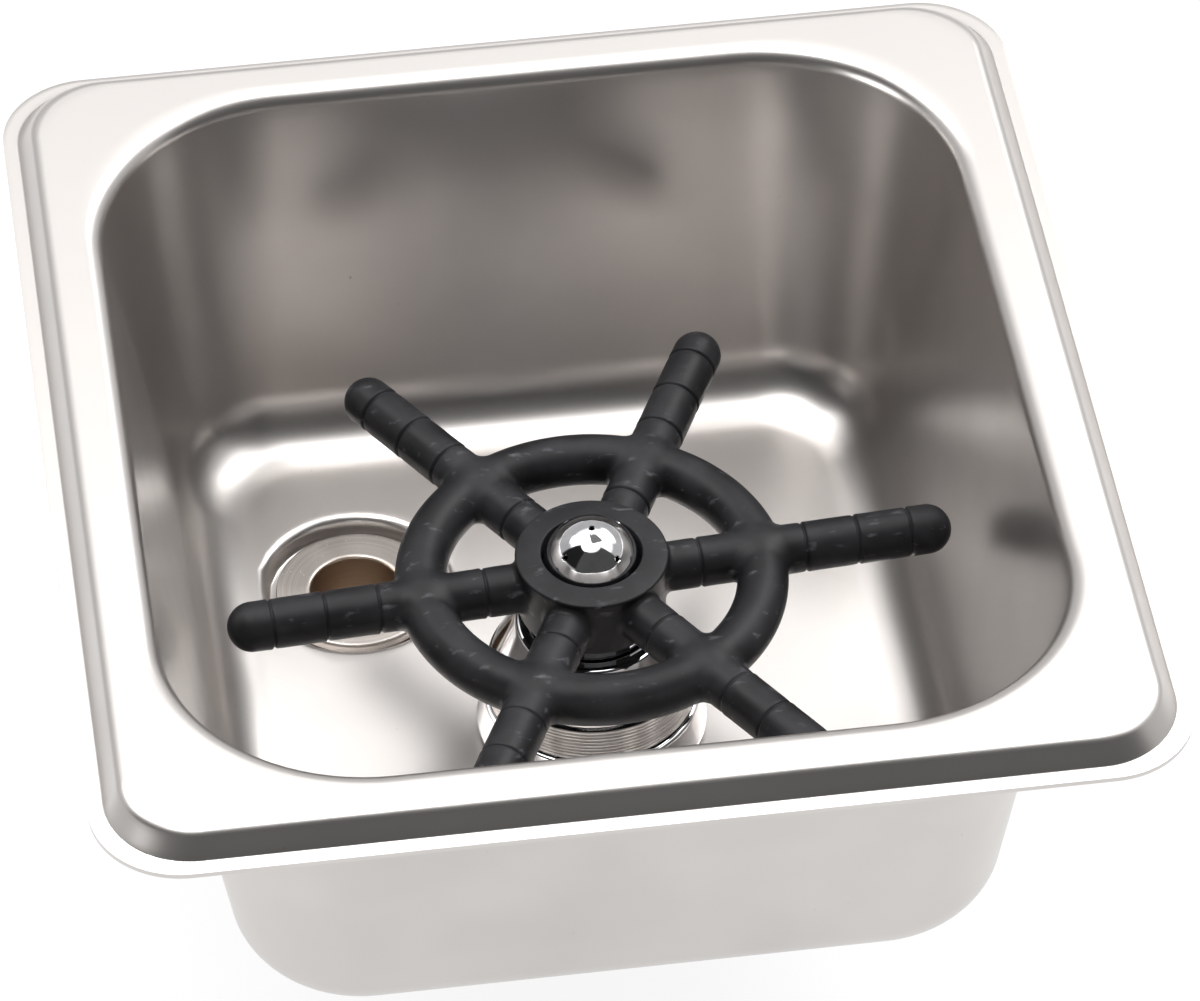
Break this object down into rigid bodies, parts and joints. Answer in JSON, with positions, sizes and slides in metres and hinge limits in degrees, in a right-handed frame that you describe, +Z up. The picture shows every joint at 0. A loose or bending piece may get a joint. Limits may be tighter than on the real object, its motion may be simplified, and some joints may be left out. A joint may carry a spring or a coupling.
{
  "type": "glass rinser",
  "caption": "Drop-in glass rinser: a stepped-rim steel pan with a waste outlet and a spring-loaded rinse valve under a pressable spider with a ring and radial arms.",
  "frame": {"origin": "middle of the pan in plan, at the height of the counter, which is the underside of the pan's lip", "axes": "+X along the pan's short front edge to the right, +Y along the pan from front to back, +Z up out of the bowl"},
  "size_m": [0.162, 0.176, 0.1043],
  "materials": {
    "pressed_steel": "satin pressed stainless steel",
    "turned_metal": "turned, satin",
    "polished_chrome": "polished",
    "black_moulding": "matt moulded",
    "seal_rubber": "smooth",
    "nylon": "moulded",
    "fibre": "pressed fibre",
    "spring_steel": "drawn wire"
  },
  "bodies": {
    "pan": {"basin": "pressed_steel", "drain_body": "turned_metal", "drain_gasket": "seal_rubber", "drain_washer": "nylon", "drain_nut": "turned_metal", "floor_gasket": "seal_rubber", "base_flange": "polished_chrome", "valve_body": "turned_metal", "bonnet": "polished_chrome", "guide_bush": "nylon", "clamp_gasket": "seal_rubber", "clamp_washer": "turned_metal", "valve_nut": "turned_metal", "inlet_adapter": "turned_metal", "inlet_seal": "fibre", "return_spring": "spring_steel"},
    "carriage": {"spring_washer": "turned_metal"},
    "head": {"spider": "black_moulding", "nozzle": "polished_chrome", "nozzle_seal": "fibre", "plunger": "polished_chrome", "upper_o_ring": "seal_rubber", "lower_o_ring": "seal_rubber", "seal_disc": "seal_rubber", "seal_screw": "turned_metal"}
  },
  "joints": [
    {"name": "head_press", "type": "slide", "parent": "pan", "child": "carriage", "axis": [0, 0, -1], "range_m": [0, 0.003], "stiffness_N_per_m": 1200, "springref_m": -0.003, "deforming": ["return_spring"]},
    {"name": "head_spin", "type": "hinge", "parent": "carriage", "child": "head", "pos_m": [0.0017, -0.00792, -0.0222], "axis": [0, 0, 1], "continuous": true}
  ]
}
